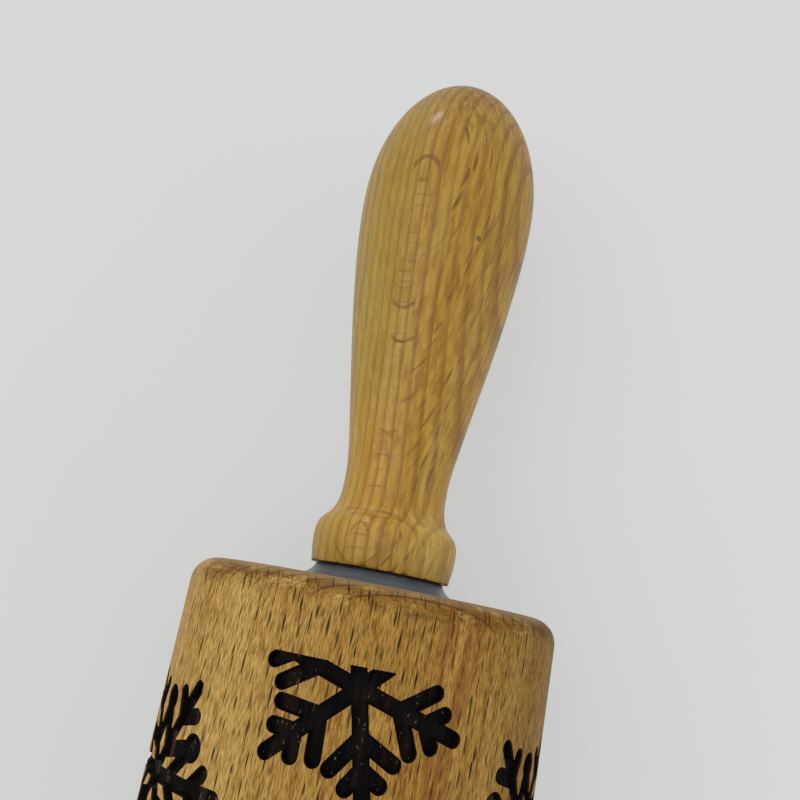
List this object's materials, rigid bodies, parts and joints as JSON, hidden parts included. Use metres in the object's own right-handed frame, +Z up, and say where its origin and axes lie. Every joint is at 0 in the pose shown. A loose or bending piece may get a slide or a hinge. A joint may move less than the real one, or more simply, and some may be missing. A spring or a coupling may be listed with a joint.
{
  "type": "embossed rolling pin",
  "caption": "Wooden rolling pin whose barrel is carved with snowflakes and turns on ball bearings between two turned handles.",
  "frame": {"origin": "on the surface it lies on, under the middle of the barrel", "axes": "+X along the pin's axis towards the handle that the picture shows, +Z up"},
  "size_m": [0.4398, 0.06, 0.06],
  "materials": {
    "barrel_wood": "sanded beech, satin, with darkened carving",
    "handle_wood": "turned beech, satin",
    "hub_nylon": "moulded grey nylon, semi-matte",
    "axle_steel": "drawn bright steel",
    "bearing_steel": "ground bearing steel",
    "ball_steel": "polished bearing balls",
    "cage_nylon": "natural nylon",
    "insert_brass": "turned brass"
  },
  "bodies": {
    "barrel": {"barrel": "barrel_wood", "bearing_hub_left": "hub_nylon", "bearing_hub_right": "hub_nylon", "outer_ring_left": "bearing_steel", "outer_ring_right": "bearing_steel"},
    "spindle": {"axle_rod": "axle_steel", "handle_left": "handle_wood", "handle_right": "handle_wood", "threaded_insert_left": "insert_brass", "threaded_insert_right": "insert_brass", "inner_ring_left": "bearing_steel", "inner_ring_right": "bearing_steel", "spacer_left": "axle_steel", "spacer_right": "axle_steel"},
    "cage_left": {"ball_cage_left": "cage_nylon", "ball_left_1": "ball_steel", "ball_left_2": "ball_steel", "ball_left_3": "ball_steel", "ball_left_4": "ball_steel", "ball_left_5": "ball_steel", "ball_left_6": "ball_steel", "ball_left_7": "ball_steel"},
    "cage_right": {"ball_cage_right": "cage_nylon", "ball_right_1": "ball_steel", "ball_right_2": "ball_steel", "ball_right_3": "ball_steel", "ball_right_4": "ball_steel", "ball_right_5": "ball_steel", "ball_right_6": "ball_steel", "ball_right_7": "ball_steel"}
  },
  "joints": [
    {"name": "spindle_spin", "type": "hinge", "parent": "barrel", "child": "spindle", "pos_m": [0, 0, 0.03], "axis": [1, 0, 0], "continuous": true},
    {"name": "cage_left_spin", "type": "hinge", "parent": "barrel", "child": "cage_left", "pos_m": [-0.1197, 0, 0.03], "axis": [1, 0, 0], "continuous": true},
    {"name": "cage_right_spin", "type": "hinge", "parent": "barrel", "child": "cage_right", "pos_m": [0.1197, 0, 0.03], "axis": [1, 0, 0], "continuous": true}
  ],
  "couplings": [
    {"joint": "cage_left_spin", "follows": "spindle_spin", "ratio": 0.3706},
    {"joint": "cage_right_spin", "follows": "spindle_spin", "ratio": 0.3706}
  ]
}
